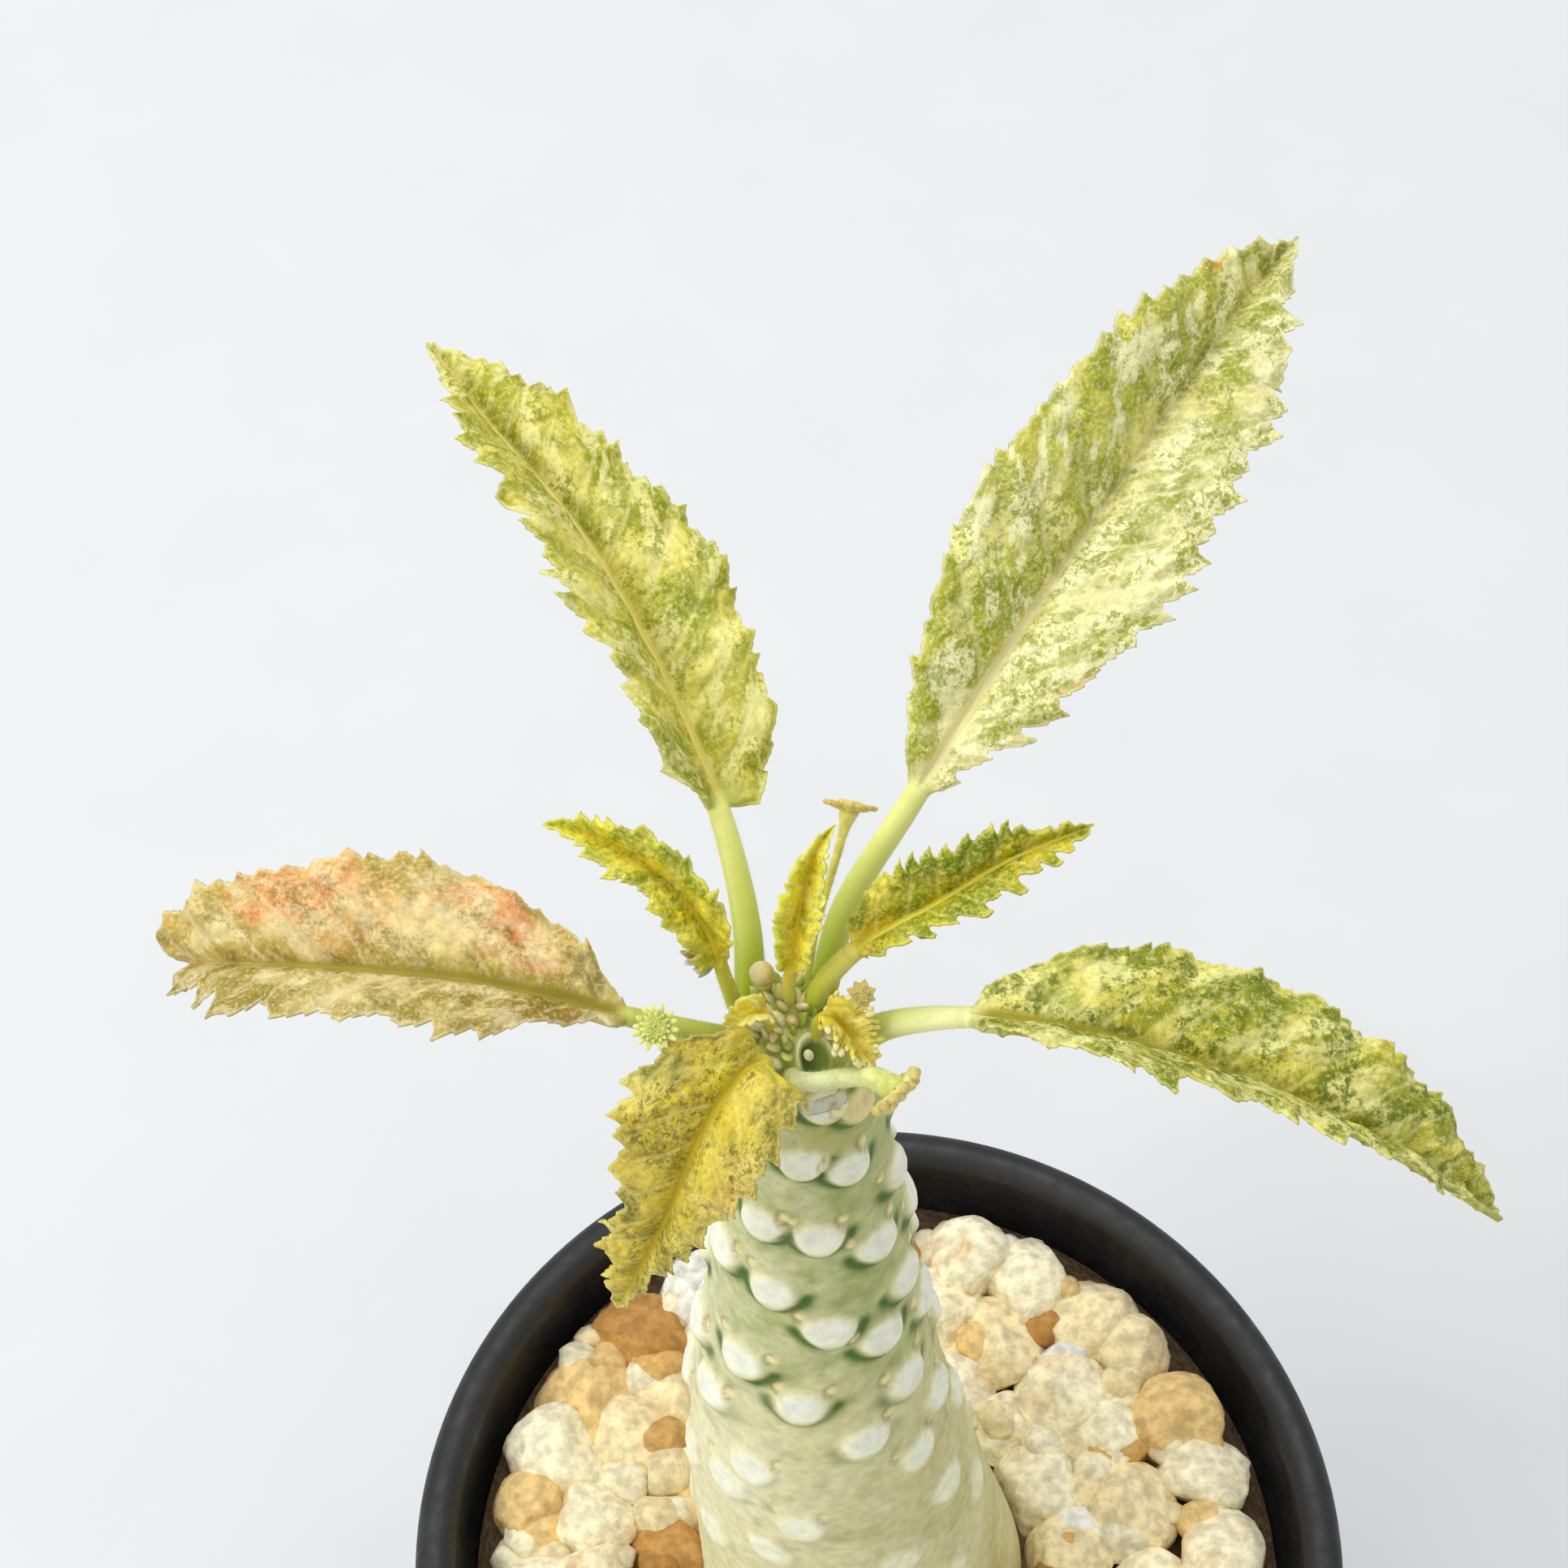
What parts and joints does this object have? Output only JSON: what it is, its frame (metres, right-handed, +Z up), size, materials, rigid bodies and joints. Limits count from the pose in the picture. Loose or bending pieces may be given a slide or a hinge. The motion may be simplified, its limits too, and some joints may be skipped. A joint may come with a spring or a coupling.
{
  "type": "potted plant",
  "caption": "Young caudex plant in a small black nursery pot: a tapering scarred trunk with toothed variegated leaves, small flower heads and pumice gravel.",
  "frame": {"origin": "centre of the pot's foot, on the plane it rests on", "axes": "+Z up along the pot's axis, -Y towards the front of the plant as pictured, +X to its right"},
  "size_m": [0.0985, 0.0944, 0.2065],
  "materials": {
    "pot_plastic": "matt black moulded plastic",
    "pumice": "rough cream pumice grains",
    "trunk_skin": "waxy grey-green succulent skin with cream leaf scars",
    "leaf_lime": "puckered lime and cream leaf flecked with green",
    "leaf_salmon": "puckered olive leaf with salmon and cream patches",
    "leaf_golden": "young golden leaf flecked with green",
    "bloom_cream": "downy pale green and cream"
  },
  "bodies": {
    "root": {"pot": "pot_plastic", "gravel": "pumice", "trunk": "trunk_skin", "leaf_back_left": "leaf_lime", "leaf_back_right": "leaf_lime", "leaf_right": "leaf_lime", "leaf_left": "leaf_salmon", "leaf_front": "leaf_golden", "leaf_young_left": "leaf_golden", "leaf_young_centre": "leaf_golden", "leaf_young_right": "leaf_golden", "leaf_crisp": "leaf_golden", "leaf_curl": "leaf_golden", "bloom_back": "bloom_cream", "bloom_right": "bloom_cream", "bloom_left": "bloom_cream", "bloom_front": "bloom_cream", "bloom_bud": "bloom_cream"}
  },
  "joints": []
}
